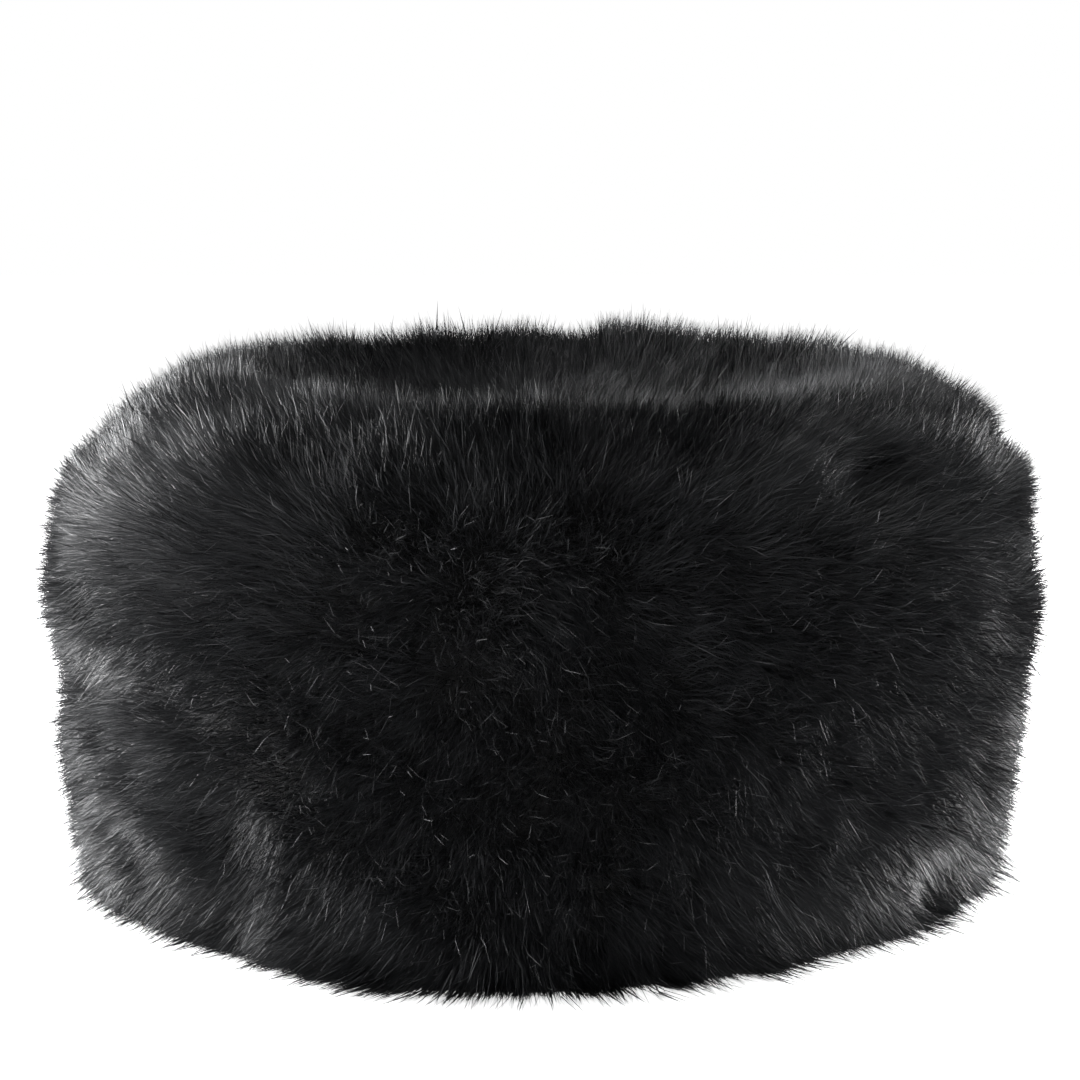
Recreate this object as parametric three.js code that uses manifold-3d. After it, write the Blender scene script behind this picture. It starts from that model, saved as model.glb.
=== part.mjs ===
// A brimless fur hat of pillbox form, lying on its lower rim.
// Two pieces of deep-pile fur cloth are sewn edge to edge: a side band that runs round the head,
// and an oval crown tip that closes the top. The head goes in from below.
// Millimetres. +Z is up, the front of the hat faces -Y, and the origin is the middle of the rim on the surface.
import * as THREE from "three";
import { mergeVertices } from "three/addons/utils/BufferGeometryUtils.js";
import Module from "manifold-3d";

const wasm = await Module();
wasm.setup();

// Driving sizes
const hollowHalfWidth = 87.5; // with the next size, an oval for a 58 cm head
const hollowHalfLength = 97.5;
const hollowDepth = 100;
const clothThickness = 3; // knitted backing and the pressed roots of the pile
const sewingGap = 0.3; // between the two pieces along their seam
const bandInset = 11; // how far the dense underfur lies below the tips of the locks
const crownInset = 8;
const rimRing = 8; // least width of the flat ring that the hat stands on
const seamLean = 4; // how far the seam's parting leans inwards on its way up to the tips
const partingTop = 150; // height that the parting surface runs past all the fur to
const ringSegments = 36;
const bandStations = 10;
const crownStations = 6;

// The outside of the fur, a row for each height from the surface up to the ridge and in over the dished crown.
// side and end are the half sizes across and along; corner is the superellipse exponent of the oval, 2 for an ellipse.
const furSections = [
  { height: 0, side: 107.5, end: 130, corner: 1.8 },
  { height: 10, side: 114, end: 132, corner: 1.84 },
  { height: 32, side: 118.5, end: 133, corner: 1.9 },
  { height: 57, side: 120.5, end: 132.5, corner: 1.94 },
  { height: 80, side: 122, end: 132, corner: 1.98 },
  { height: 97, side: 118.5, end: 129, corner: 2.02 },
  { height: 109, side: 112, end: 122.5, corner: 2.06 },
  { height: 119, side: 104, end: 114.5, corner: 2.08 },
  { height: 127, side: 94, end: 104.5, corner: 2.06 },
  { height: 130.5, side: 83, end: 93.5, corner: 2.04 },
  { height: 128, side: 68, end: 78, corner: 2 },
  { height: 123, side: 40, end: 48, corner: 2 },
  { height: 121, side: 0, end: 0, corner: 2 },
];
const ridgeRow = 9; // the row of furSections where the band's fur meets the crown's
const crownEdge = 8.4; // the crown's underfur starts this far along them, before it is cut by the parting

// Soft hollows in the fur, and swells where the depth is below 0.
// angle is seen from above, counter-clockwise from +X; wide and tall are spreads.
const furDents = [
  { name: "left side fold", angle: 190, height: 56, wide: 9, tall: 15, depth: 3 },
  { name: "left shoulder", angle: 212, height: 78, wide: 12, tall: 9, depth: 3 },
  { name: "left cheek swell", angle: 180, height: 76, wide: 24, tall: 20, depth: -2.5 },
  { name: "left shoulder swell", angle: 200, height: 103, wide: 26, tall: 12, depth: -3.5 },
  { name: "left front fold", angle: 213, height: 62, wide: 16, tall: 8, depth: 4 },
  { name: "left lower swell", angle: 185, height: 16, wide: 22, tall: 22, depth: -4 },
  { name: "left parting", angle: 242, height: 120, wide: 7, tall: 9, depth: 4 },
  { name: "left parting over the ridge", angle: 222, height: 129, wide: 10, tall: 4, depth: 4 },
  { name: "front left crease", angle: 232, height: 35, wide: 5, tall: 28, depth: 3 },
  { name: "right shoulder hollow", angle: 311, height: 110, wide: 7, tall: 7, depth: 6 },
  { name: "right shoulder roll", angle: 328, height: 119, wide: 12, tall: 6, depth: -3 },
  { name: "right shoulder swell", angle: 356, height: 104, wide: 24, tall: 13, depth: -7 },
  { name: "right cheek swell", angle: 0, height: 72, wide: 26, tall: 14, depth: -4 },
  { name: "right upper swell", angle: 344, height: 112, wide: 16, tall: 10, depth: -3 },
  { name: "right front rim", angle: 307, height: 4, wide: 10, tall: 16, depth: 4 },
  { name: "right corner tuft", angle: 352, height: 122, wide: 13, tall: 6, depth: -5 },
  { name: "right crown notch", angle: 351, height: 113, wide: 8, tall: 4, depth: 4 },
  { name: "right rim parting", angle: 328, height: 13, wide: 5, tall: 9, depth: 6 },
  { name: "back seam hollow", angle: 90, height: 62, wide: 6, tall: 40, depth: 3 },
];
const crownTilt = 4.2; // how much higher the back of the ridge stands, and how much lower its front

// Rows of locks. way is the row's place along furSections, drop how far the tips lie below the roots
// along the fur, and broad and thick are half sizes at the root.
const bandLockRows = [
  { way: 0.95, count: 26, drop: 12, broad: 14, thick: 8 },
  { way: 1.8, count: 26, drop: 19, broad: 15, thick: 8.5 },
  { way: 2.7, count: 26, drop: 20, broad: 15.5, thick: 9 },
  { way: 3.65, count: 26, drop: 19, broad: 16, thick: 9 },
  { way: 4.5, count: 26, drop: 9, broad: 16, thick: 9 },
  { way: 5.5, count: 25, drop: -14, broad: 15, thick: 8.5 },
  { way: 7.2, count: 27, drop: -12, broad: 13.5, thick: 7.5 },
];
const crownLockRows = [
  { way: 9.8, count: 19, drop: 15, broad: 13.5, thick: 7.5 },
  { way: 10.35, count: 14, drop: 16, broad: 15, thick: 7.5 },
  { way: 10.85, count: 9, drop: 15, broad: 15, thick: 7.5 },
  { way: 11.4, count: 5, drop: 12, broad: 14, thick: 7.5 },
];
const lockRootDepth = 4; // how far a lock's root is sunk in the underfur
const lockSides = 3; // one edge of the three runs along the lock's back
const lockRings = 2;
const lockFullness = 2; // above 1 keeps a lock broad before it comes to its point
const lockSwing = 9; // most that a lock's tip swings round the hat, in degrees
const lockReach = 1; // most that a tip reaches above or below the outside of the fur

// One smooth line through the sections; x is side, y is end, z is height.
const furLine = new THREE.CatmullRomCurve3(
  furSections.map((row) => new THREE.Vector3(row.side, row.end, row.height)),
);
const lastRow = furSections.length - 1;
const degrees = THREE.MathUtils.degToRad;

// A repeatable number from -1 to 1 for the lock with this number.
function variation(number, kind) {
  const wave = Math.sin(number * 12.9898 + kind * 78.233) * 43758.5453;
  return 2 * (wave - Math.floor(wave)) - 1;
}

// The point at this angle of an oval with these half sizes and this superellipse exponent.
function ovalPoint(angle, side, end, corner, height) {
  const across = Math.cos(angle);
  const along = Math.sin(angle);
  return new THREE.Vector3(
    side * Math.sign(across) * Math.abs(across) ** (2 / corner),
    end * Math.sign(along) * Math.abs(along) ** (2 / corner),
    height,
  );
}

// How far the dents draw the fur in at this angle and height.
function dentDepth(angle, height) {
  return furDents.reduce((sum, dent) => {
    const turn = THREE.MathUtils.radToDeg(angle) - dent.angle;
    const aside = (((turn + 180) % 360) + 360) % 360 - 180;
    return sum + dent.depth * Math.exp(-((aside / dent.wide) ** 2) - ((height - dent.height) / dent.tall) ** 2);
  }, 0);
}

// A point on the outside of the fur. way counts along furSections.
function furPoint(angle, way) {
  const place = THREE.MathUtils.clamp(way, 0, lastRow);
  const row = Math.min(Math.floor(place), lastRow - 1);
  const corner = THREE.MathUtils.lerp(furSections[row].corner, furSections[row + 1].corner, place - row);
  const sizes = furLine.getPoint(place / lastRow);
  const point = ovalPoint(angle, sizes.x, sizes.y, corner, sizes.z);
  const reach = Math.hypot(point.x, point.y);
  const pull = reach > 0 ? 1 - dentDepth(angle, point.z) / Math.max(reach, hollowHalfWidth) : 1;
  point.z += (crownTilt * THREE.MathUtils.clamp((place - 6) / 2, 0, 1) * point.y) / furSections[ridgeRow].end;
  point.x *= pull;
  point.y *= pull;
  return point;
}

// The directions round the hat, up along the fur, and out of it, at a place on its outside.
function furDirections(angle, way) {
  const step = 0.02;
  const inner = Math.min(way, lastRow - 0.3);
  const round = furPoint(angle + step, inner).sub(furPoint(angle - step, inner)).normalize();
  const up = furPoint(angle, inner + step).sub(furPoint(angle, inner - step)).normalize();
  const out = new THREE.Vector3().crossVectors(round, up).normalize();
  return { round, up, out };
}

// A point in the fur, this far below its outside and never below the surface that the hat lies on.
function underFur(angle, way, depth) {
  const point = furPoint(angle, way).addScaledVector(furDirections(angle, way).out, -depth);
  point.z = Math.max(point.z, 0);
  return point;
}

// A closed geometry as a solid for joining and cutting.
function solidOf(geometry) {
  const bare = geometry.clone();
  bare.deleteAttribute("normal");
  bare.deleteAttribute("uv");
  const merged = mergeVertices(bare, 1e-4);
  const solid = new wasm.Manifold(
    new wasm.Mesh({
      numProp: 3,
      vertProperties: merged.attributes.position.array,
      triVerts: new Uint32Array(merged.index.array),
    }),
  );
  return solid;
}

// A solid as a geometry that a mesh can hold.
function geometryOf(solid) {
  const mesh = solid.getMesh();
  const geometry = new THREE.BufferGeometry();
  geometry.setAttribute("position", new THREE.BufferAttribute(mesh.vertProperties, mesh.numProp));
  geometry.setIndex(new THREE.BufferAttribute(mesh.triVerts, 1));
  geometry.computeVertexNormals();
  return geometry;
}

// A lathe whose rings are bent into ovals: each station is a function from an angle to a point.
function ovalLathe(stations) {
  const guide = stations.map((station) => {
    const start = station(0);
    return new THREE.Vector2(Math.max(start.x, 0), start.z);
  });
  const lathe = new THREE.LatheGeometry(guide, ringSegments);
  const position = lathe.attributes.position;
  for (let index = 0; index < position.count; index += 1) {
    const ring = Math.floor(index / stations.length) % ringSegments;
    const angle = (ring / ringSegments) * 2 * Math.PI;
    const point = stations[index % stations.length](angle);
    position.setXYZ(index, point.x, point.y, point.z);
  }
  return lathe;
}

// A station whose ring is a plain oval, this much wider than the hollow.
function wallStation(wider, height) {
  return (angle) => ovalPoint(angle, hollowHalfWidth + wider, hollowHalfLength + wider, 2, height);
}

// The underfur of the band on its cloth wall, open above and below.
function bandBody() {
  const underside = Array.from({ length: bandStations }, (_, index) => {
    const way = (ridgeRow * index) / (bandStations - 1);
    return (angle) => {
      const point = underFur(angle, way, bandInset);
      const least = ovalPoint(angle, hollowHalfWidth + rimRing, hollowHalfLength + rimRing, 2, 0);
      const short = Math.hypot(least.x, least.y) / Math.hypot(point.x, point.y);
      if (point.z < hollowDepth && short > 1) point.multiply(new THREE.Vector3(short, short, 1));
      if (index === 0) point.z = 0;
      return point;
    };
  });
  const seamTop = wallStation(clothThickness - seamLean, partingTop / 1.35);
  return solidOf(
    ovalLathe([
      ...underside,
      seamTop,
      wallStation(clothThickness, hollowDepth),
      wallStation(0, hollowDepth),
      wallStation(0, 0),
      underside[0],
    ]),
  );
}

// The underfur of the crown tip on its flat oval of cloth.
function crownBody() {
  const disc = hollowDepth + sewingGap;
  const dish = Array.from({ length: crownStations }, (_, index) => {
    const way = crownEdge + ((lastRow - crownEdge) * index) / (crownStations - 1);
    return index < crownStations - 1
      ? (angle) => underFur(angle, way, crownInset)
      : () => new THREE.Vector3(0, 0, furSections[lastRow].height - crownInset);
  });
  return solidOf(
    ovalLathe([
      () => new THREE.Vector3(0, 0, disc),
      wallStation(clothThickness, disc),
      wallStation(clothThickness, disc + clothThickness),
      ...dish,
    ]),
  );
}

// The room that the crown's fur keeps to, inside the parting that stands on the seam.
function crownRoom(wider, floor) {
  return solidOf(
    ovalLathe([
      () => new THREE.Vector3(0, 0, floor),
      wallStation(clothThickness + wider, floor),
      wallStation(clothThickness + wider, hollowDepth + clothThickness),
      wallStation(clothThickness + wider - seamLean, partingTop),
      () => new THREE.Vector3(0, 0, partingTop),
    ]),
  );
}

// One lock: a cone that is bent along a curve from its root to its tip, with its back turned out of the fur.
function lock(root, middle, tip, out, broad, thick) {
  const curve = new THREE.QuadraticBezierCurve3(root, middle, tip);
  const cone = new THREE.ConeGeometry(1, 1, lockSides, lockRings);
  const position = cone.attributes.position;
  for (let index = 0; index < position.count; index += 1) {
    const along = position.getY(index) + 0.5;
    const taper = along < 1 ? (1 - along ** lockFullness) / (1 - along) : 0;
    const heading = curve.getTangent(along);
    const side = new THREE.Vector3().crossVectors(heading, out).normalize();
    const back = new THREE.Vector3().crossVectors(side, heading);
    const point = curve
      .getPoint(along)
      .addScaledVector(side, position.getX(index) * broad * taper)
      .addScaledVector(back, position.getZ(index) * thick * taper);
    position.setXYZ(index, point.x, point.y, Math.max(point.z, 0.4));
  }
  return solidOf(cone);
}

// All locks of these rows, joined to the underfur that they grow from.
function withLocks(body, rows, inset) {
  let solid = body;
  rows.forEach((row, rowNumber) => {
    for (let index = 0; index < row.count; index += 1) {
      const number = rowNumber * 100 + index;
      const turn = (index + 0.5 * (rowNumber % 2) + 0.22 * variation(number, 1)) / row.count;
      const angle = turn * 2 * Math.PI;
      const way = row.way + 0.12 * variation(number, 2);
      const { up, out } = furDirections(angle, way);
      const root = underFur(angle, way, inset + lockRootDepth);
      const swing = degrees(lockSwing * variation(number, 3)) * (row.count / bandLockRows[0].count);
      const tip = furPoint(angle + swing, way)
        .addScaledVector(up, -row.drop * (1 + 0.4 * variation(number, 9)))
        .addScaledVector(out, lockReach * variation(number, 5));
      const middle = root.clone().lerp(tip, 0.45).addScaledVector(out, 0.1 * inset);
      const size = 1 + 0.12 * variation(number, 6);
      solid = solid.add(lock(root, middle, tip, out, row.broad * size, row.thick * size));
    }
  });
  return solid;
}

const blackFur = { color: 0x101112, roughness: 0.85, metalness: 0 };

function sideBand() {
  const fur = withLocks(bandBody(), bandLockRows, bandInset);
  const hollow = crownRoom(sewingGap, hollowDepth);
  const mesh = new THREE.Mesh(geometryOf(fur.subtract(hollow)), new THREE.MeshStandardMaterial(blackFur));
  mesh.name = "side_band";
  return mesh;
}

function crownTip() {
  const fur = withLocks(crownBody(), crownLockRows, crownInset);
  const room = crownRoom(0, hollowDepth + sewingGap);
  const mesh = new THREE.Mesh(geometryOf(fur.intersect(room)), new THREE.MeshStandardMaterial(blackFur));
  mesh.name = "crown_tip";
  return mesh;
}

const hat = new THREE.Group();
hat.add(sideBand(), crownTip());

export default hat;
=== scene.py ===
import math
import bpy
import bmesh
import numpy as np
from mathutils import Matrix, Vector, kdtree


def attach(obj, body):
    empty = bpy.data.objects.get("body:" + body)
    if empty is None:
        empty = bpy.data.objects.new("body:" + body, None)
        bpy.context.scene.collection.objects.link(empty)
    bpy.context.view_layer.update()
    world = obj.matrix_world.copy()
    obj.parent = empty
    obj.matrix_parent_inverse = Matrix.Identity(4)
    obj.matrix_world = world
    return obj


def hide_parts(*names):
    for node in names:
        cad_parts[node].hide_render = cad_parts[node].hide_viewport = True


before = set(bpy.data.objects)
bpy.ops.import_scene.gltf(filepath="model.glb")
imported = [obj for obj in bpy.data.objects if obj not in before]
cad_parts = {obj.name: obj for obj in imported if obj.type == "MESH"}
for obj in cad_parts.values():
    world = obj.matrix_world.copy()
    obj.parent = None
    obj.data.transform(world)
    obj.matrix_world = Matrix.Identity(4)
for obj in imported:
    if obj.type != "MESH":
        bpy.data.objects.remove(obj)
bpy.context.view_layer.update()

print("frame loaded:", ", ".join(sorted(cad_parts)))

mm = 0.001

# The hat's outer form, the same named sizes as the solids it stands for
hat = {
    "hollowHalfWidth": 87.5,  # an oval for a 58 cm head
    "hollowHalfLength": 97.5,
    "hollowDepth": 100.0,
    "clothThickness": 3.0,
    "sewingGap": 0.3,
    "ridgeRow": 9,  # row of furSections where the band's fur meets the crown's
    "crownTilt": 4.2,  # mm that the back of the ridge stands higher and its front lower
    "tiltRow": 6,  # row of furSections where that tilt starts
    "tiltHalfLength": 95.0,
    "calmRadius": 60.0,  # folds and lumps fade out nearer the middle of the crown than this
    "leastRadius": 40.0,
}

# height, half width, half length and the exponent of the oval, from the surface up and in over the crown
furSections = np.array([
    (0.0, 107.5, 130.0, 1.8),
    (10.0, 114.0, 132.0, 1.84),
    (32.0, 118.5, 133.0, 1.9),
    (57.0, 120.5, 132.5, 1.94),
    (80.0, 122.0, 132.0, 1.98),
    (97.0, 118.5, 129.0, 2.02),
    (109.0, 112.0, 122.5, 2.06),
    (119.0, 104.0, 114.5, 2.08),
    (127.0, 94.0, 104.5, 2.06),
    (130.5, 83.0, 93.5, 2.04),
    (128.0, 68.0, 78.0, 2.0),
    (123.0, 40.0, 48.0, 2.0),
    (121.0, 0.0, 0.0, 2.0),
])
lastRow = len(furSections) - 1

# angle is seen from above, counter-clockwise from +X, so the front is at 270
furDents = [  # a depth below 0 is a swell
    {"place": "left side fold", "angle": 190, "height": 56, "wide": 9, "tall": 15, "depth": 3},
    {"place": "left shoulder", "angle": 212, "height": 78, "wide": 12, "tall": 9, "depth": 3},
    {"place": "left cheek swell", "angle": 180, "height": 76, "wide": 24, "tall": 20, "depth": -2.5},
    {"place": "left shoulder swell", "angle": 200, "height": 103, "wide": 26, "tall": 12, "depth": -3.5},
    {"place": "left front fold", "angle": 213, "height": 62, "wide": 16, "tall": 8, "depth": 4},
    {"place": "left lower swell", "angle": 185, "height": 16, "wide": 22, "tall": 22, "depth": -4},
    {"place": "left parting", "angle": 242, "height": 120, "wide": 7, "tall": 9, "depth": 4},
    {"place": "left parting over the ridge", "angle": 222, "height": 129, "wide": 10, "tall": 4, "depth": 4},
    {"place": "front left crease", "angle": 232, "height": 35, "wide": 5, "tall": 28, "depth": 3},
    {"place": "right shoulder hollow", "angle": 311, "height": 110, "wide": 7, "tall": 7, "depth": 6},
    {"place": "right shoulder roll", "angle": 328, "height": 119, "wide": 12, "tall": 6, "depth": -3},
    {"place": "right shoulder swell", "angle": 356, "height": 104, "wide": 24, "tall": 13, "depth": -7},
    {"place": "right cheek swell", "angle": 0, "height": 72, "wide": 26, "tall": 14, "depth": -4},
    {"place": "right upper swell", "angle": 344, "height": 112, "wide": 16, "tall": 10, "depth": -3},
    {"place": "right front rim", "angle": 307, "height": 4, "wide": 10, "tall": 16, "depth": 4},
    {"place": "right corner tuft", "angle": 352, "height": 122, "wide": 13, "tall": 6, "depth": -5},
    {"place": "right crown notch", "angle": 351, "height": 113, "wide": 8, "tall": 4, "depth": 4},
    {"place": "right rim parting", "angle": 328, "height": 13, "wide": 5, "tall": 9, "depth": 6},
    {"place": "back seam", "angle": 90, "height": 62, "wide": 6, "tall": 40, "depth": 3},
]

# The size in mm, the waves round the hat, their turn for each mm up, and their start
furLumps = [(1.1, 3, 0.05, 0.7), (0.9, 7, -0.09, 2.1)]
crossLump = {"size": 0.7, "count": (11, 4), "climb": (0.16, 0.11)}  # two waves multiplied

# Where the pile is brushed: tips move this many mm counter-clockwise round the hat and up along it
groomPlaces = [
    {"place": "left shoulder fan", "angle": 218, "height": 104, "wide": 19, "tall": 20, "round": -12, "up": 2},
    {"place": "left cheek", "angle": 205, "height": 60, "wide": 18, "tall": 30, "round": -5, "up": -3},
    {"place": "right shoulder tufts", "angle": 304, "height": 112, "wide": 18, "tall": 8, "round": 12, "up": 1},
    {"place": "right shoulder sweep", "angle": 322, "height": 94, "wide": 12, "tall": 12, "round": 4, "up": -6},
    {"place": "right corner tuft", "angle": 345, "height": 126, "wide": 12, "tall": 8, "round": 8, "up": -6},
    {"place": "right front ridge", "angle": 312, "height": 127, "wide": 22, "tall": 9, "round": 0, "up": -6},
    {"place": "front top", "angle": 258, "height": 116, "wide": 16, "tall": 10, "round": -2, "up": 3},
    {"place": "front middle", "angle": 272, "height": 90, "wide": 26, "tall": 24, "round": 2.5, "up": -3.5},
    {"place": "front fringe left", "angle": 243, "height": 6, "wide": 18, "tall": 14, "round": -8, "up": -5},
    {"place": "front fringe right", "angle": 300, "height": 6, "wide": 18, "tall": 14, "round": 7, "up": -5},
]
# Lines that the tips lean away from on both sides; slant is degrees round the hat for each mm up
partings = [
    {"place": "left shoulder", "angle": 245, "height": 106,
     "slant": -1.0, "wide": 8, "tall": 17, "spread": 7},
    {"place": "left side crease", "angle": 206, "height": 72,
     "slant": -1.5, "wide": 9, "tall": 14, "spread": 5},
    {"place": "right shoulder", "angle": 314, "height": 108,
     "slant": 0.6, "wide": 8, "tall": 10, "spread": 5},
    {"place": "right rim", "angle": 328, "height": 14,
     "slant": 0.0, "wide": 7, "tall": 12, "spread": 1.5},
    {"place": "front left crease", "angle": 231, "height": 36,
     "slant": 0.0, "wide": 7, "tall": 28, "spread": 7},
]
groomByHeight = {"height": [0, 8, 18, 35, 60, 84, 100, 115, 125, 132],
                 "up": [-4.5, -5.5, -5.5, -4, -2, 0, 2, 3, 2, 1]}
groom = {
    "sideSweep": 3.5,  # mm that the pile leans from the front and back towards the sides
    "partingFade": 1.6,  # how many of its widths away a parting still shows
    "partingEdge": 2.5,
    "crownLean": 5.0,  # mm that the crown's tips lean out towards the ridge
    "backLeftLean": 3.0,  # mm more at the back left
    "backLeftAngle": 118,
    "backLeftWide": 40,
    "crownStart": 0.2,  # rows before the ridge where the crown's lean starts
    "crownRows": 1.5,  # rows over which it grows
    "crownWaves": [(0.35, 5, 0, 1), (0.3, 13, 0, 0)],  # in rows, as furLumps
}
# By angle, in mm: how far the lowest hairs are held off the floor, and how much further tips reach out at the
# rim and at the ridge
rimLift = {"angle": [0, 45, 65, 90, 115, 135, 180, 225, 245, 270, 295, 315, 360],
           "lift": [2, 1.5, 1, 0.5, 1, 1.5, 0.7, 1.2, 1.2, 1.4, 1.3, 1.2, 1.6]}
fringeReach = {"angle": [0, 90, 180, 192, 208, 220, 236, 245, 270, 283, 295, 310, 328, 345, 360],
               "reach": [5, 6, 6, 7, 4, 4, 10, 13, 9, 7, 7, 5, 8, 4, 5], "fade": 6}
ridgeReach = {"angle": [0, 40, 68, 85, 100, 115, 140, 180, 335, 350, 360],
              "reach": [1, 0.5, 3.5, 1, 1.5, 1.5, 0, 0, 0, 3.5, 1], "ridgeHeight": 132, "tall": 7,
              "waves": [(1.1, 11, 0, 0.4), (0.9, 19, 0, 2)]}


def smoothRow(column, place):  # a smooth line through one column of furSections
    row = np.clip(np.floor(place), 0, lastRow - 1).astype(int)
    step = place - row
    before, start, end, after = (column[np.clip(row + k, 0, lastRow)] for k in (-1, 0, 1, 2))
    bend = 2 * before - 5 * start + 4 * end - after
    return 0.5 * (2 * start + (end - before) * step + bend * step ** 2
                  + (3 * start - before - 3 * end + after) * step ** 3)


def angleApart(angle, middle):  # degrees from middle, -180 to 180
    return (np.degrees(angle) - middle + 180) % 360 - 180


def ovalPoints(angle, halfWidth, halfLength, exponent, height):
    across, along = np.cos(angle), np.sin(angle)
    x = halfWidth * np.sign(across) * np.abs(across) ** (2 / exponent)
    y = halfLength * np.sign(along) * np.abs(along) ** (2 / exponent)
    return np.stack([x, y, height + 0 * x], -1)


def addWaves(value, angle, height, waves):
    for size, count, climb, start in waves:
        value = value + size * np.sin(count * angle + climb * height + start)
    return value


def lumps(angle, height):  # slow rises and falls of the pile, in mm
    size, count, climb = crossLump["size"], crossLump["count"], crossLump["climb"]
    crossed = (size * np.sin(count[0] * angle + climb[0] * height)
               * np.sin(climb[1] * height + count[1] * angle))
    return addWaves(0, angle, height, furLumps) + crossed


def furSurface(angle, way):  # points on the outside of the fur, in mm; way counts along furSections
    place = np.clip(way, 0, lastRow)
    height, side, end = (smoothRow(furSections[:, k], place) for k in (0, 1, 2))
    exponent = np.interp(place, np.arange(lastRow + 1), furSections[:, 3])
    points = ovalPoints(angle, np.maximum(side, 0), np.maximum(end, 0), exponent, height)
    pull = -lumps(angle, height)
    for dent in furDents:
        aside = angleApart(angle, dent["angle"]) / dent["wide"]
        pull = pull + dent["depth"] * np.exp(-aside ** 2 - ((height - dent["height"]) / dent["tall"]) ** 2)
    tilt = hat["crownTilt"] * np.clip((place - hat["tiltRow"]) / 2, 0, 1)
    points[..., 2] += tilt * points[..., 1] / hat["tiltHalfLength"]
    reach = np.maximum(np.hypot(points[..., 0], points[..., 1]), 1e-6)
    inward = 1 - pull * np.clip(reach / hat["calmRadius"], 0, 1) / np.maximum(reach, hat["leastRadius"])
    points[..., :2] *= inward[..., None]
    return points


def unit(vectors):
    return vectors / np.maximum(np.linalg.norm(vectors, axis=-1, keepdims=True), 1e-9)


def furDirections(angle, way):  # round the hat, up along the fur, and out of it
    step = 0.03
    inner = np.clip(way, step, lastRow - 0.3)
    around = unit(furSurface(angle + step, inner) - furSurface(angle - step, inner))
    up = unit(furSurface(angle, inner + step) - furSurface(angle, inner - step))
    return around, up, unit(np.cross(around, up))


# The cloth and the dense underfur on it

underfur = {
    "bandDepth": 9.0,  # mm from the outside of the fur in to the underfur
    "crownDepth": 7.0,
    "rimFlare": 1.5,  # mm less than that at the rim
    "rimFlareHeight": 6.0,
    "rimRing": 8.0,  # least width of the rim that the hat lies on
    "wallTop": 6.0,  # how far the band's wall stands above the hollow
    "seamRow": 0.05,  # rows from the ridge to the crown's first row
    "discSteps": [(-30, -2.5), (-6, -0.4)],  # under the crown: mm wider than the hollow, mm above its edge
    "discMiddle": 3.5,  # mm that the middle hangs lower
    "discInset": 1.0,  # mm that its edge lies inside the outside of the band's wall
    "steps": 144, "bandRows": 40, "crownRows": 21,
    "fibreScale": 900.0, "patchScale": 60.0,
    "fibreShare": 0.6, "patchShare": 0.4,
    "darkColour": (0.001, 0.001, 0.0011, 1), "paleColour": (0.007, 0.007, 0.0075, 1),
    "specular": 0.15,
    "roughness": 0.75, "roughnessChange": 0.2,
    "bump": 0.7, "bumpHeight": 0.0012,  # in metres
}


def spunShell(name, stations, steps):
    mesh = bmesh.new()
    column = [mesh.verts.new((1, 0, level)) for level in range(len(stations))]
    edges = [mesh.edges.new(pair) for pair in zip(column, column[1:])]
    bmesh.ops.spin(mesh, geom=column + edges, cent=(0, 0, 0), axis=(0, 0, 1),
                   angle=2 * math.pi, steps=steps, use_merge=True)
    for vert in mesh.verts:
        vert.co = Vector(stations[round(vert.co.z)](math.atan2(vert.co.y, vert.co.x))) * mm
    bmesh.ops.remove_doubles(mesh, verts=mesh.verts, dist=1e-6)
    bmesh.ops.recalc_face_normals(mesh, faces=mesh.faces)
    for face in mesh.faces:
        face.smooth = True
    data = bpy.data.meshes.new(name)
    mesh.to_mesh(data)
    mesh.free()
    piece = bpy.data.objects.new(name, data)
    bpy.context.collection.objects.link(piece)
    return piece


def wallStation(wider, height):
    return lambda angle: ovalPoints(np.float64(angle), hat["hollowHalfWidth"] + wider,
                                    hat["hollowHalfLength"] + wider, 2.0, height)


def middleStation(height):
    return lambda angle: np.array([0.0, 0.0, height])


def underStation(way, depth, floorLevel):  # floorLevel is for the band, which stands on the floor
    def station(angle):
        angle = np.float64(angle)
        point = furSurface(angle, np.float64(way))
        flare = underfur["rimFlare"] * math.exp(-point[2] / underfur["rimFlareHeight"])
        below = depth - flare * floorLevel
        point = point - below * furDirections(angle, np.float64(way))[2]
        least = ovalPoints(angle, hat["hollowHalfWidth"] + underfur["rimRing"],
                           hat["hollowHalfLength"] + underfur["rimRing"], 2.0, 0.0)
        short = math.hypot(least[0], least[1]) / max(math.hypot(point[0], point[1]), 1e-6)
        if floorLevel and point[2] < hat["hollowDepth"] and short > 1:
            point[:2] *= short
        point[2] = 0.0 if floorLevel and way == 0 else max(point[2], 0.0)
        return point
    return station


def bandShell():
    rows = underfur["bandRows"]
    outside = [underStation(hat["ridgeRow"] * k / (rows - 1), underfur["bandDepth"], True)
               for k in range(rows)]
    deep, thick = hat["hollowDepth"], hat["clothThickness"]
    wall = [wallStation(thick, deep + underfur["wallTop"]), wallStation(thick, deep), wallStation(0, deep),
            wallStation(0, deep / 2), wallStation(0, 0)]
    return spunShell("side_band_pelt", outside + wall + outside[:1], underfur["steps"])


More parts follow.
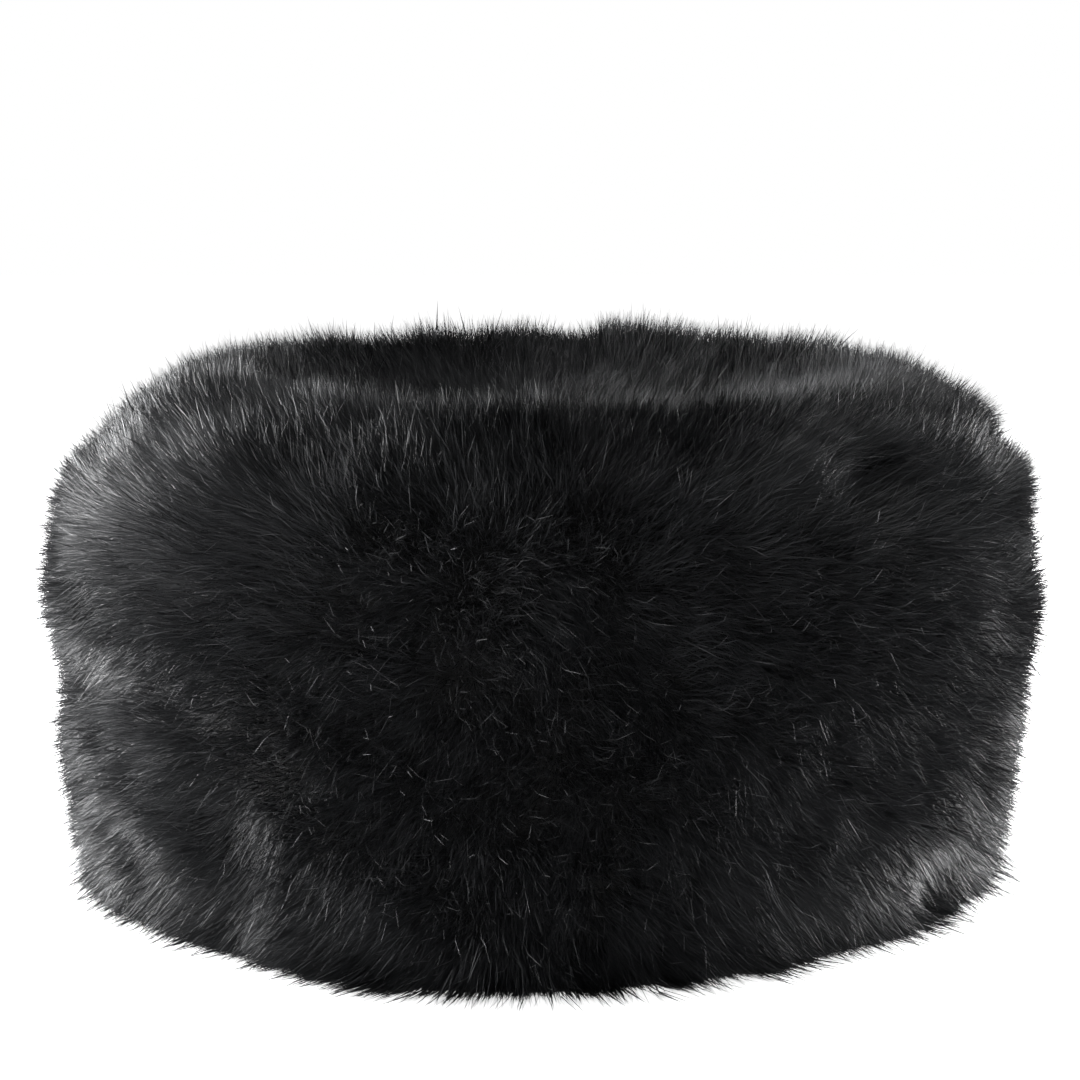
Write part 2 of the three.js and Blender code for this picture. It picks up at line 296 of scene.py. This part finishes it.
def crownShell():
    disc = hat["hollowDepth"] + hat["sewingGap"]
    start = hat["ridgeRow"] + underfur["seamRow"]
    edge = hat["clothThickness"] - underfur["discInset"]
    ways = np.linspace(start, lastRow, underfur["crownRows"] + 1)[:-1]
    dish = [underStation(way, underfur["crownDepth"], False) for way in ways]
    under = [wallStation(wider, disc + rise) for wider, rise in underfur["discSteps"]]
    under += [wallStation(edge, disc), wallStation(edge, disc + hat["clothThickness"])]
    lowest, highest = disc - underfur["discMiddle"], furSections[-1, 0] - underfur["crownDepth"]
    stations = [middleStation(lowest)] + under + dish + [middleStation(highest)]
    return spunShell("crown_tip_pelt", stations, underfur["steps"])


# The pile, as joined meshes of single hairs

pile = {
    "bandHairs": 560000, "crownHairs": 118000, "mostInPiece": 144000,
    "quickShare": 4,
    "longShare": 0.18,  # curved hairs of two steps; the others are straight and start higher
    "edge": 0.02,  # rows of furSections kept clear at the rim and at the crown's middle
    "placeColumns": 360, "placeRows": 90,
    "fringe": 1.6,  # how much denser the pile is along the rim
    "fringeHeight": 9,
    "rootDepth": 12.0,  # mm below the outside of the fur where a hair starts
    "rootSpread": 1.0,
    # The width of a hair, in mm
    "hairWidth": 0.155,
    "fineWidth": 0.235,  # at the lower end, tapering to nothing
    "fineStart": 0.56,
    "stations": [0.0, 0.56, 1.0],
    "widths": [1.0, 0.85],
    "widthRange": (0.6, 1.4),
    "facing": 0.2,  # how far hairs turn about their own length
    # How far tips reach out of the fur's outside, in mm
    "reach": 0.3, "reachSpread": 1.7,
    "reachHeight": [112, 126], "reachMost": [4.5, 3.2],  # less on the ridge and the crown
    "mostReach": 20.5,  # no hair of any kind reaches further
    "leanDrop": 0.006,  # tips that lean far reach out less
    "shortShare": 0.25,  # share of hairs that stay inside the pile
    "shortReach": (-7, -1),
    "leastHeight": 0.35,  # no hair goes below this
    "softLift": 2.0,  # mm over which low hairs are bent up off the floor
    # Hairs that lie across the pile, coloured pale as painted glints
    "strays": 0.19,  # share of the curved hairs
    "strayWidth": 0.8,
    "strayReach": (0.8, 3.2),
    "strayLength": (1.4, 4.6),
    "strayDepth": (0.8, 2.5),
    # Hairs that stand apart from the pile
    "longWisps": 0.3,  # shares of the curved and of the straight hairs
    "fineWisps": 0.02,
    "wispHeight": [0, 8, 16, 100, 125, 140],
    "wispReach": [15, 14, 5, 5, 3.5, 3.5],  # most mm that they reach out further, at each height
    "wispLeast": 0.1,  # share of that for the shortest
    "wispWidth": 1.4,
    "wispLift": 0.3,  # share of rimLift
    # Bends and chance
    "middleRise": 0.62, "middleLean": 0.28,
    "curl": 0.8, "wispCurl": 2.2,
    "lowHeight": 12,  # mm up the hat over which the rim's own numbers fade
    "frizz": 2.3, "rimFrizzLess": 1.2,
    "tousle": 1.8,  # mm that the lean of the pile wanders from place to place
    "tousleWaves": 16, "tousleLengths": (11, 44),
    # Tufts
    "tufts": 13000,
    "tuftLean": 1.1,  # mm that one tuft leans apart from the next
    "tuftReach": 0.3, "tuftSpread": 1.0,
    "rimTuftSpread": 2.6, "rimTuftHeight": 8,
    "pinchShape": 2.0,
    "pinch": 0.3, "rimPinch": 0.45, "mostPinch": 0.9,  # how far tips gather at their tuft's tip
    "strayPinch": 0.3, "wispPinch": 0.35,
    "pinchReach": 0.9, "rimPinchLess": 0.7,
    # Tone, 0 to 1 for the pile, and above 1 for strays, where it paints a pale glint
    "ownTone": 0.85, "tuftTone": 0.15,
    "paintedGlintTone": 1.1, "paintedGlintToneSpread": 0.9, "paintedGlintTonePower": 2.5,
    "seed": 11,
}
# Where the corners of each kind of hair lie in its own cell of the bake map
hairMap = {
    "curved": [[0.1, 0.05], [0.9, 0.05], [0.1, 0.5], [0.9, 0.5], [0.5, 0.95]],
    "straight": [[0.1, 0.05], [0.9, 0.05], [0.5, 0.95]],
}

rng = np.random.default_rng(pile["seed"])
waveCount = pile["tousleWaves"]
waveWays = unit(rng.normal(0, 1, (waveCount, 3)))
waveWays = waveWays * (2 * np.pi / rng.uniform(*pile["tousleLengths"], waveCount))[:, None]
wavePhases = rng.uniform(0, 2 * np.pi, (2, waveCount))


def scatter(count, lowWay, highWay):  # angle and way of points spread over the fur, denser along the rim
    angles = np.linspace(0, 2 * np.pi, pile["placeColumns"] + 1)
    ways = np.linspace(lowWay, highWay, pile["placeRows"] + 1)
    grid = furSurface(*np.meshgrid(angles, ways, indexing="ij"))
    across, along = grid[1:, :-1] - grid[:-1, :-1], grid[:-1, 1:] - grid[:-1, :-1]
    area = np.linalg.norm(np.cross(across, along), axis=-1)
    dense = 1 + pile["fringe"] * np.exp(-grid[:-1, :-1, 2] / pile["fringeHeight"]) * (lowWay < 1)
    area = (area * dense).ravel()
    picks = rng.choice(len(area), size=count, p=area / area.sum())
    column, row = np.divmod(picks, pile["placeRows"])
    angle = angles[column] + rng.random(count) * (angles[1] - angles[0])
    way = ways[row] + rng.random(count) * (ways[1] - ways[0])
    return angle, way


def groomShift(angle, height):  # how far tips lean round the hat and up along it, in mm
    around = groom["sideSweep"] * np.sin(2 * (angle - 1.5 * np.pi))
    up = np.interp(height, groomByHeight["height"], groomByHeight["up"])
    for place in groomPlaces:
        aside = angleApart(angle, place["angle"]) / place["wide"]
        weight = np.exp(-aside ** 2 - ((height - place["height"]) / place["tall"]) ** 2)
        around = around + weight * place["round"]
        up = up + weight * place["up"]
    for line in partings:
        aside = (angleApart(angle, line["angle"]) - line["slant"] * (height - line["height"])) / line["wide"]
        weight = np.exp(-(aside / groom["partingFade"]) ** 2 - ((height - line["height"]) / line["tall"]) ** 2)
        around = around + line["spread"] * np.tanh(groom["partingEdge"] * aside) * weight
    return around, up


def tousle(points, part):  # slow changes of the lean, by place on the hat
    return pile["tousle"] * math.sqrt(2 / waveCount) * np.sin(points @ waveWays.T + wavePhases[part]).sum(-1)


def tipPoints(angle, way, reach):  # the tips of brushed hairs, and the way out of the fur there
    surface = furSurface(angle, way)
    around, up, out = furDirections(angle, way)
    shiftRound, shiftUp = groomShift(angle, surface[:, 2])
    shiftRound, shiftUp = shiftRound + tousle(surface, 0), shiftUp + tousle(surface, 1)
    wander = addWaves(0, angle, 0, groom["crownWaves"])
    onCrown = np.clip((way - hat["ridgeRow"] + groom["crownStart"] + wander) / groom["crownRows"], 0, 1)
    backLeft = np.exp(-(angleApart(angle, groom["backLeftAngle"]) / groom["backLeftWide"]) ** 2)
    crownLean = groom["crownLean"] + groom["backLeftLean"] * backLeft
    shiftUp = shiftUp * (1 - onCrown) + crownLean * -onCrown
    tips = surface + around * shiftRound[:, None] + up * shiftUp[:, None]
    height, degrees = surface[:, 2], np.degrees(angle) % 360
    fringe = np.interp(degrees, fringeReach["angle"], fringeReach["reach"])
    ridge = np.interp(degrees, ridgeReach["angle"], ridgeReach["reach"])
    ridge = addWaves(ridge, angle, 0, ridgeReach["waves"])
    nearRidge = np.exp(-((height - ridgeReach["ridgeHeight"]) / ridgeReach["tall"]) ** 2)
    reach = reach + fringe * np.exp(-height / fringeReach["fade"]) + ridge * nearRidge
    reach = np.minimum(reach, pile["mostReach"])
    return tips + out * (reach - pile["leanDrop"] * (shiftRound ** 2 + shiftUp ** 2))[:, None], out


tuftAngle, tuftWay = scatter(pile["tufts"], pile["edge"], lastRow - pile["edge"])
tuftPlaces = furSurface(tuftAngle, tuftWay)
tuftSpread = pile["tuftSpread"] + pile["rimTuftSpread"] * np.exp(-tuftPlaces[:, 2] / pile["rimTuftHeight"])
tuftReach = rng.normal(pile["tuftReach"], tuftSpread)
tuftLean = rng.normal(0, pile["tuftLean"], tuftPlaces.shape)
tuftTips = tipPoints(tuftAngle, tuftWay, tuftReach)[0] + tuftLean
tuftTone = rng.random(pile["tufts"])
tuftPinch = rng.beta(pile["pinchShape"], pile["pinchShape"], pile["tufts"])
tuftTree = kdtree.KDTree(pile["tufts"])
for number, place in enumerate(tuftPlaces):
    tuftTree.insert(place, number)
tuftTree.balance()
print("tufts placed")


def hairReach(height, isLong, stray):  # mm out of the fur's outside, and which hairs stand apart
    count = len(height)
    reach = np.minimum(rng.normal(pile["reach"], pile["reachSpread"], count), pile["reachMost"][0])
    short = rng.random(count) < pile["shortShare"]
    reach = np.where(short, rng.uniform(*pile["shortReach"], count), reach)
    reach = np.minimum(reach, np.interp(height, pile["reachHeight"], pile["reachMost"]))
    wispy = rng.random(count) < np.where(isLong, pile["longWisps"], pile["fineWisps"])
    wisp = rng.uniform(pile["wispLeast"], 1, count) * np.interp(height, pile["wispHeight"], pile["wispReach"])
    reach = np.where(wispy, np.maximum(reach, 0) + wisp, reach)
    return np.where(stray, rng.uniform(*pile["strayReach"], count), reach), wispy


def growHairs(angle, way, isLong, stray):  # roots, bends and tips in mm, and what the piece needs beside them
    count = len(angle)
    surface = furSurface(angle, way)
    nearest = np.array([tuftTree.find(place)[1] for place in surface])
    reach, wispy = hairReach(surface[:, 2], isLong, stray)
    tips, out = tipPoints(angle, way, reach)
    # Tips gather in tufts, then frizz
    low = np.exp(-surface[:, 2] / pile["lowHeight"])
    apart = np.where(stray, pile["strayPinch"], np.where(wispy, pile["wispPinch"], 1))
    pinch = pile["pinch"] * tuftPinch[nearest] + pile["rimPinch"] * low
    pinch = np.minimum(pinch, pile["mostPinch"]) * apart
    tips += tuftLean[nearest] * (1 - pinch)[:, None]
    kept = pinch * reach * pile["pinchReach"] * (1 - pile["rimPinchLess"] * low)
    tips += (tuftTips[nearest] - tips) * pinch[:, None] + out * kept[:, None]
    frizz = rng.normal(0, 1, tips.shape)
    frizz -= out * np.maximum((frizz * out).sum(1), 0)[:, None]
    tips += frizz * (pile["frizz"] - pile["rimFrizzLess"] * low)[:, None]
    # Roots and the bend between root and tip
    depth = pile["rootDepth"] + rng.normal(0, pile["rootSpread"], count)
    roots = surface - out * depth[:, None]
    middle = roots + out * (pile["middleRise"] * depth)[:, None] + (tips - surface) * pile["middleLean"]
    middle += rng.normal(0, pile["curl"], middle.shape) * np.where(wispy, pile["wispCurl"], 1)[:, None]
    sideways = unit(frizz - out * (frizz * out).sum(1)[:, None])
    across = sideways * rng.uniform(*pile["strayLength"], count)[:, None]
    strayMiddle = tips - out * rng.uniform(*pile["strayDepth"], count)[:, None]
    middle = np.where(stray[:, None], strayMiddle, middle)
    tips = np.where(stray[:, None], tips + across, tips)
    # Nothing sinks into the floor
    lift = np.interp(np.degrees(angle) % 360, rimLift["angle"], rimLift["lift"])
    lift = lift * np.where(wispy, pile["wispLift"], 1)
    soft = pile["softLift"]
    for points in (roots, middle, tips):
        over = points[:, 2] - lift
        bent = lift + soft * np.exp(np.minimum(over - soft, 0) / soft)
        points[:, 2] = np.where(over < soft, bent, points[:, 2])
    return roots, middle, tips, out, nearest, wispy


def ribbonCorners(roots, middle, tips, facing, width, stations, widths):  # pairs up each hair, then its tip
    corners = []
    for along, share in zip(stations, widths):
        point = (1 - along) ** 2 * roots + 2 * along * (1 - along) * middle + along ** 2 * tips
        side = facing * (width * share)[:, None]
        corners += [point - side, point + side]
    return np.stack(corners + [tips], 1).reshape(-1, 3)


def pilePiece(name, angle, way):
    count = len(angle)
    longCount = int(count * pile["longShare"])
    isLong = np.arange(count) < longCount
    stray = isLong & (rng.random(count) < pile["strays"])
    roots, middle, tips, out, nearest, wispy = growHairs(angle, way, isLong, stray)
    facing = unit(np.cross(unit(tips - roots), out + pile["facing"] * rng.normal(0, 1, roots.shape)))
    width = 0.5 * rng.uniform(*pile["widthRange"], count) * np.where(stray, pile["strayWidth"], 1)
    width = width * np.where(isLong, pile["hairWidth"], pile["fineWidth"])
    width = width * np.where(wispy, pile["wispWidth"], 1)
    parts = (roots, middle, tips, facing, width)
    curved = ribbonCorners(*(part[:longCount] for part in parts), pile["stations"], pile["widths"])
    straight = ribbonCorners(*(part[longCount:] for part in parts), [pile["fineStart"]], [1.0])
    vertices = np.concatenate([curved, straight]) * mm
    vertices[:, 2] = np.maximum(vertices[:, 2], pile["leastHeight"] * mm)
    fineCount = count - longCount
    curvedLoops = (np.arange(longCount)[:, None] * 5 + [0, 1, 3, 2, 2, 3, 4]).reshape(-1)
    fineLoops = len(curved) + np.arange(fineCount * 3)
    loops = np.concatenate([curvedLoops, fineLoops])
    starts = np.concatenate([(np.arange(longCount)[:, None] * 7 + [0, 4]).reshape(-1),
                             len(curvedLoops) + np.arange(fineCount) * 3])
    data = bpy.data.meshes.new(name)
    data.vertices.add(len(vertices))
    data.vertices.foreach_set("co", vertices.reshape(-1))
    data.loops.add(len(loops))
    data.loops.foreach_set("vertex_index", loops.astype(np.int32))
    data.polygons.add(len(starts))
    data.polygons.foreach_set("loop_start", starts.astype(np.int32))
    data.update(calc_edges=True)
    data.validate()
    data.shade_smooth()
    toneAndGlint = pile["ownTone"] * rng.random(count) + pile["tuftTone"] * tuftTone[nearest]
    # Strays get a tone above 1, which the hair material paints as a pale glint
    paintedGlintTone = pile["paintedGlintTone"] + pile["paintedGlintToneSpread"] * rng.random(count) ** pile["paintedGlintTonePower"]
    toneAndGlint = np.where(stray, paintedGlintTone, toneAndGlint)
    hairOf = np.concatenate([np.repeat(np.arange(longCount), 5), np.repeat(np.arange(longCount, count), 3)])
    rise = np.concatenate([np.tile(np.repeat(pile["stations"], 2)[:-1], longCount),
                           np.tile([pile["fineStart"], pile["fineStart"], 1.0], fineCount)])
    for layerName, values in (("hairToneAndGlint", toneAndGlint[hairOf]), ("hairRise", rise)):
        layer = data.attributes.new(layerName, "FLOAT", "POINT")
        layer.data.foreach_set("value", values.astype(np.float32))
    cells = math.ceil(math.sqrt(count))
    corner = np.concatenate([np.tile(hairMap["curved"], (longCount, 1)),
                             np.tile(hairMap["straight"], (fineCount, 1))])
    flat = (np.stack([hairOf % cells, hairOf // cells], 1) + corner) / cells
    bakeMap = data.uv_layers.new(name="OFBake")
    bakeMap.data.foreach_set("uv", flat[loops].astype(np.float32).reshape(-1))
    piece = bpy.data.objects.new(name, data)
    bpy.context.collection.objects.link(piece)
    print(name, "has", count, "hairs")
    return piece


# Materials

class Socket:  # lets shader values be written as sums
    def __init__(self, tree, link):
        self.tree, self.link = tree, link

    def math(self, operation, *values):
        return node(self.tree, "ShaderNodeMath", {"operation": operation}, *values)

    def __add__(self, other):
        return self.math("ADD", self, other)

    def __sub__(self, other):
        return self.math("SUBTRACT", self, other)

    def __rsub__(self, other):
        return self.math("SUBTRACT", other, self)

    def __mul__(self, other):
        return self.math("MULTIPLY", self, other)

    def __pow__(self, other):
        return self.math("POWER", self, other)


def node(tree, kind, settings, *values, output=0, **named):
    made = tree.nodes.new(kind)
    for key, value in settings.items():
        setattr(made, key, value)
    pairs = list(enumerate(values)) + [(key.replace("_", " "), value) for key, value in named.items()]
    for key, value in pairs:
        if isinstance(value, Socket):
            tree.links.new(value.link, made.inputs[key])
        else:
            made.inputs[key].default_value = value
    return Socket(tree, made.outputs[output])


def newMaterial(name, **fixed):
    material = bpy.data.materials.new(name)
    material.use_nodes = True
    tree = material.node_tree
    shader = tree.nodes["Principled BSDF"]
    for key, value in fixed.items():
        shader.inputs[key.replace("_", " ")].default_value = value
    return material, tree, shader


fur = {
    # The root colour is painted shade: darker for the shade deep in the pile
    "paintedRootShade": (0.0025, 0.0025, 0.0027, 1),
    "tipColour": (0.0124, 0.0132, 0.015, 1),
    # The stray colour is a painted glint: pale grey standing in for light catching the hairs that lie across
    # the pile
    "paintedGlintColour": (0.26, 0.265, 0.275, 1),
    "bodyShare": 0.76,  # share of tipColour that the darkest tip has
    "toneShare": 0.24,  # and what the palest adds
    "tipPower": 1.2, "paintedGlintPower": 2,  # how late along a hair the tip colour takes over from the painted root shade, and how late the painted glint of strays comes in
    "specular": 0.18,
    "roughness": 0.56, "rootRougher": 0.2, "toneRougher": 0.08,
}


def mixColours(tree, share, first, second):
    made = tree.nodes.new("ShaderNodeMix")
    made.data_type = "RGBA"
    colourInputs = [socket for socket in made.inputs if socket.type == "RGBA"]
    for socket, value in zip([made.inputs[0]] + colourInputs, (share, first, second)):
        if isinstance(value, Socket):
            tree.links.new(value.link, socket)
        else:
            socket.default_value = value
    return Socket(tree, [socket for socket in made.outputs if socket.type == "RGBA"][0])


def hairMaterial():
    material, tree, shader = newMaterial("black_pile_hair", Specular_IOR_Level=fur["specular"])
    toneAndGlint = node(tree, "ShaderNodeAttribute", {"attribute_name": "hairToneAndGlint"}, output=2)
    rise = node(tree, "ShaderNodeAttribute", {"attribute_name": "hairRise"}, output=2)
    # Painted shade: each hair darkens from tip to root, for the shade deep in the pile
    share = rise ** fur["tipPower"] * (toneAndGlint * fur["toneShare"] + fur["bodyShare"])
    body = mixColours(tree, share, fur["paintedRootShade"], fur["tipColour"])
    # Painted glint: a tone above 1 turns the outer part of a stray pale
    stray = node(tree, "ShaderNodeClamp", {}, (toneAndGlint - 1.0) * rise ** fur["paintedGlintPower"])
    colour = mixColours(tree, stray, body, fur["paintedGlintColour"])
    tree.links.new(colour.link, shader.inputs["Base Color"])
    rough = (1 - rise) * fur["rootRougher"] + fur["roughness"] + (toneAndGlint - 0.5) * fur["toneRougher"]
    tree.links.new(rough.link, shader.inputs["Roughness"])
    return material


def underfurMaterial():
    material, tree, shader = newMaterial("black_underfur", Specular_IOR_Level=underfur["specular"])
    place = node(tree, "ShaderNodeTexCoord", {}, output=3)
    fibres = node(tree, "ShaderNodeTexNoise", {}, place,
                  Scale=underfur["fibreScale"], Detail=4.0, Roughness=0.7)
    patches = node(tree, "ShaderNodeTexNoise", {}, place, Scale=underfur["patchScale"], Detail=2.0)
    share = fibres * underfur["fibreShare"] + patches * underfur["patchShare"]
    colour = mixColours(tree, share, underfur["darkColour"], underfur["paleColour"])
    tree.links.new(colour.link, shader.inputs["Base Color"])
    rough = fibres * underfur["roughnessChange"] + underfur["roughness"]
    tree.links.new(rough.link, shader.inputs["Roughness"])
    bump = node(tree, "ShaderNodeBump", {}, Strength=underfur["bump"], Distance=underfur["bumpHeight"],
                Height=fibres)
    tree.links.new(bump.link, shader.inputs["Normal"])
    return material


cloth = {  # sizes in metres
    "stitchWidth": 0.0021, "courseHeight": 0.0017,
    "meanRadius": 0.0925,  # of the hollow, to turn stitch widths into angles
    "courseBend": 0.0003,
    "fuzzScale": 700.0,
    "loopShare": 0.7, "fuzzShare": 0.3,
    "darkColour": (0.006, 0.006, 0.0065, 1), "paleColour": (0.03, 0.03, 0.032, 1),
    "specular": 0.3,
    "roughness": 0.78, "roughnessChange": 0.15,
    "bump": 0.6, "bumpHeight": 0.0006, "fuzzBump": 0.4,
}


def backingMaterial():
    material, tree, shader = newMaterial("black_knitted_backing", Specular_IOR_Level=cloth["specular"])
    place = node(tree, "ShaderNodeTexCoord", {}, output=3)
    parts = tree.nodes.new("ShaderNodeSeparateXYZ")
    tree.links.new(place.link, parts.inputs[0])
    x, y, z = (Socket(tree, parts.outputs[k]) for k in range(3))
    turn = y.math("ARCTAN2", y, x)
    wales = turn.math("SINE", turn * (2 * math.pi * cloth["meanRadius"] / cloth["stitchWidth"]))
    bent = z + wales * cloth["courseBend"]
    courses = z.math("SINE", bent * (2 * math.pi / cloth["courseHeight"]))
    loops = wales * 0.25 + courses * 0.25 + 0.5  # both waves together, 0 to 1
    fuzz = node(tree, "ShaderNodeTexNoise", {}, place, Scale=cloth["fuzzScale"], Detail=3.0)
    share = loops * cloth["loopShare"] + fuzz * cloth["fuzzShare"]
    colour = mixColours(tree, share, cloth["darkColour"], cloth["paleColour"])
    tree.links.new(colour.link, shader.inputs["Base Color"])
    rough = fuzz * cloth["roughnessChange"] + cloth["roughness"]
    tree.links.new(rough.link, shader.inputs["Roughness"])
    bump = node(tree, "ShaderNodeBump", {}, Strength=cloth["bump"], Distance=cloth["bumpHeight"],
                Height=loops + fuzz * cloth["fuzzBump"])
    tree.links.new(bump.link, shader.inputs["Normal"])
    return material


hairLook, underfurLook, backingLook = hairMaterial(), underfurMaterial(), backingMaterial()


def dressShell(piece, solid):  # backing inside the hollow, underfur on the rest and under the rim
    piece.data.materials.append(underfurLook)
    piece.data.materials.append(backingLook)
    halfCloth = hat["clothThickness"] / 2
    for face in piece.data.polygons:
        centre = face.center / mm
        outward = math.hypot(centre.x / (hat["hollowHalfWidth"] + halfCloth),
                             centre.y / (hat["hollowHalfLength"] + halfCloth))
        underRim = face.normal.z < -0.5 and centre.z < 1
        if outward < 1 and centre.z < hat["hollowDepth"] + 2 and not underRim:
            face.material_index = 1
    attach(piece, "root")
    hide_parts(solid)


dressShell(bandShell(), "side_band")
dressShell(crownShell(), "crown_tip")
print("cloth and underfur made")


def addPile():
    share = 1
    bandAngle, bandWay = scatter(pile["bandHairs"], pile["edge"], hat["ridgeRow"])
    quarter = np.floor(((np.degrees(bandAngle) + 45) % 360) / 90).astype(int)
    for key, side in (("right", 0), ("back", 1), ("left", 2), ("front", 3)):
        mine = np.flatnonzero(quarter == side)[:pile["mostInPiece"]:share]
        finishPile(pilePiece("band_pile_" + key, bandAngle[mine], bandWay[mine]))
    crownAngle, crownWay = scatter(pile["crownHairs"] // share, hat["ridgeRow"], lastRow - pile["edge"])
    finishPile(pilePiece("crown_pile", crownAngle, crownWay))


def finishPile(piece):
    piece.data.materials.append(hairLook)
    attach(piece, "root")


addPile()

# Floor, light and camera

studio = {
    "cameraPlace": (0.0, -0.8335, 0.1733), "cameraAim": (-0.0004, 0.0, 0.086), "lens": 111.1,
    "sensorWidth": 36, "clip": (0.01, 50),
    "background": 1.0, "skyLight": 0.05,  # what the camera sees, and what lights the hat
    "floorHalfWidth": 6.0, "floorGlow": 1.0,
}
lamps = [
    {"name": "left_softbox", "place": (-1.25, 0.4, 0.19),
     "aim": (0, 0, 0.06), "size": (0.9, 0.32), "watts": 64},
    {"name": "left_low_softbox", "place": (-1.08, 0.25, 0.1),
     "aim": (0, 0, 0.03), "size": (0.7, 0.16), "watts": 90},
    {"name": "right_softbox", "place": (1.12, 0.46, 0.14),
     "aim": (0, 0, 0.05), "size": (0.7, 0.22), "watts": 110},
    {"name": "crown_softbox", "place": (-0.5, 0.9, 0.8),
     "aim": (0, 0, 0.12), "size": (0.6, 0.4), "watts": 11},
    {"name": "top_softbox", "place": (-0.25, 0.12, 1.15),
     "aim": (0, 0.05, 0.11), "size": (0.8, 0.6), "watts": 14},
    {"name": "front_fill", "place": (-0.5, -1.6, 0.7),
     "aim": (0, 0, 0.07), "size": (0.6, 0.6), "watts": 0.1},
]


def aimed(target, place, goal):
    target.location = place
    target.rotation_euler = (Vector(goal) - Vector(place)).to_track_quat("-Z", "Y").to_euler()
    bpy.context.collection.objects.link(target)
    return target


def addFloor():
    mesh = bmesh.new()
    bmesh.ops.create_grid(mesh, x_segments=1, y_segments=1, size=studio["floorHalfWidth"])
    data = bpy.data.meshes.new("pale_floor")
    mesh.to_mesh(data)
    mesh.free()
    floor = bpy.data.objects.new("pale_floor", data)
    bpy.context.collection.objects.link(floor)
    material = newMaterial("pale_floor", Base_Color=(0.9, 0.9, 0.9, 1), Roughness=0.9,
                           Emission_Color=(1, 1, 1, 1), Emission_Strength=studio["floorGlow"])[0]
    data.materials.append(material)


def addLight():
    for lamp in lamps:
        data = bpy.data.lights.new(lamp["name"], "AREA")
        data.shape = "RECTANGLE"
        data.size, data.size_y = lamp["size"]
        data.energy = lamp["watts"]
        aimed(bpy.data.objects.new(lamp["name"], data), lamp["place"], lamp["aim"])
    world = bpy.data.worlds.new("pale_studio")
    bpy.context.scene.world = world
    world.use_nodes = True
    tree = world.node_tree
    seen = node(tree, "ShaderNodeLightPath", {}, output=0)
    background = tree.nodes["Background"]
    background.inputs["Color"].default_value = (1, 1, 1, 1)
    strength = seen * (studio["background"] - studio["skyLight"]) + studio["skyLight"]
    tree.links.new(strength.link, background.inputs["Strength"])


def addCamera():
    data = bpy.data.cameras.new("front_view")
    data.sensor_width = studio["sensorWidth"]
    data.lens = studio["lens"]
    data.clip_start, data.clip_end = studio["clip"]
    camera = bpy.data.objects.new("front_view", data)
    bpy.context.scene.camera = aimed(camera, studio["cameraPlace"], studio["cameraAim"])


addFloor()
addLight()
addCamera()
bpy.context.scene.view_settings.view_transform = "Standard"
print("studio set")
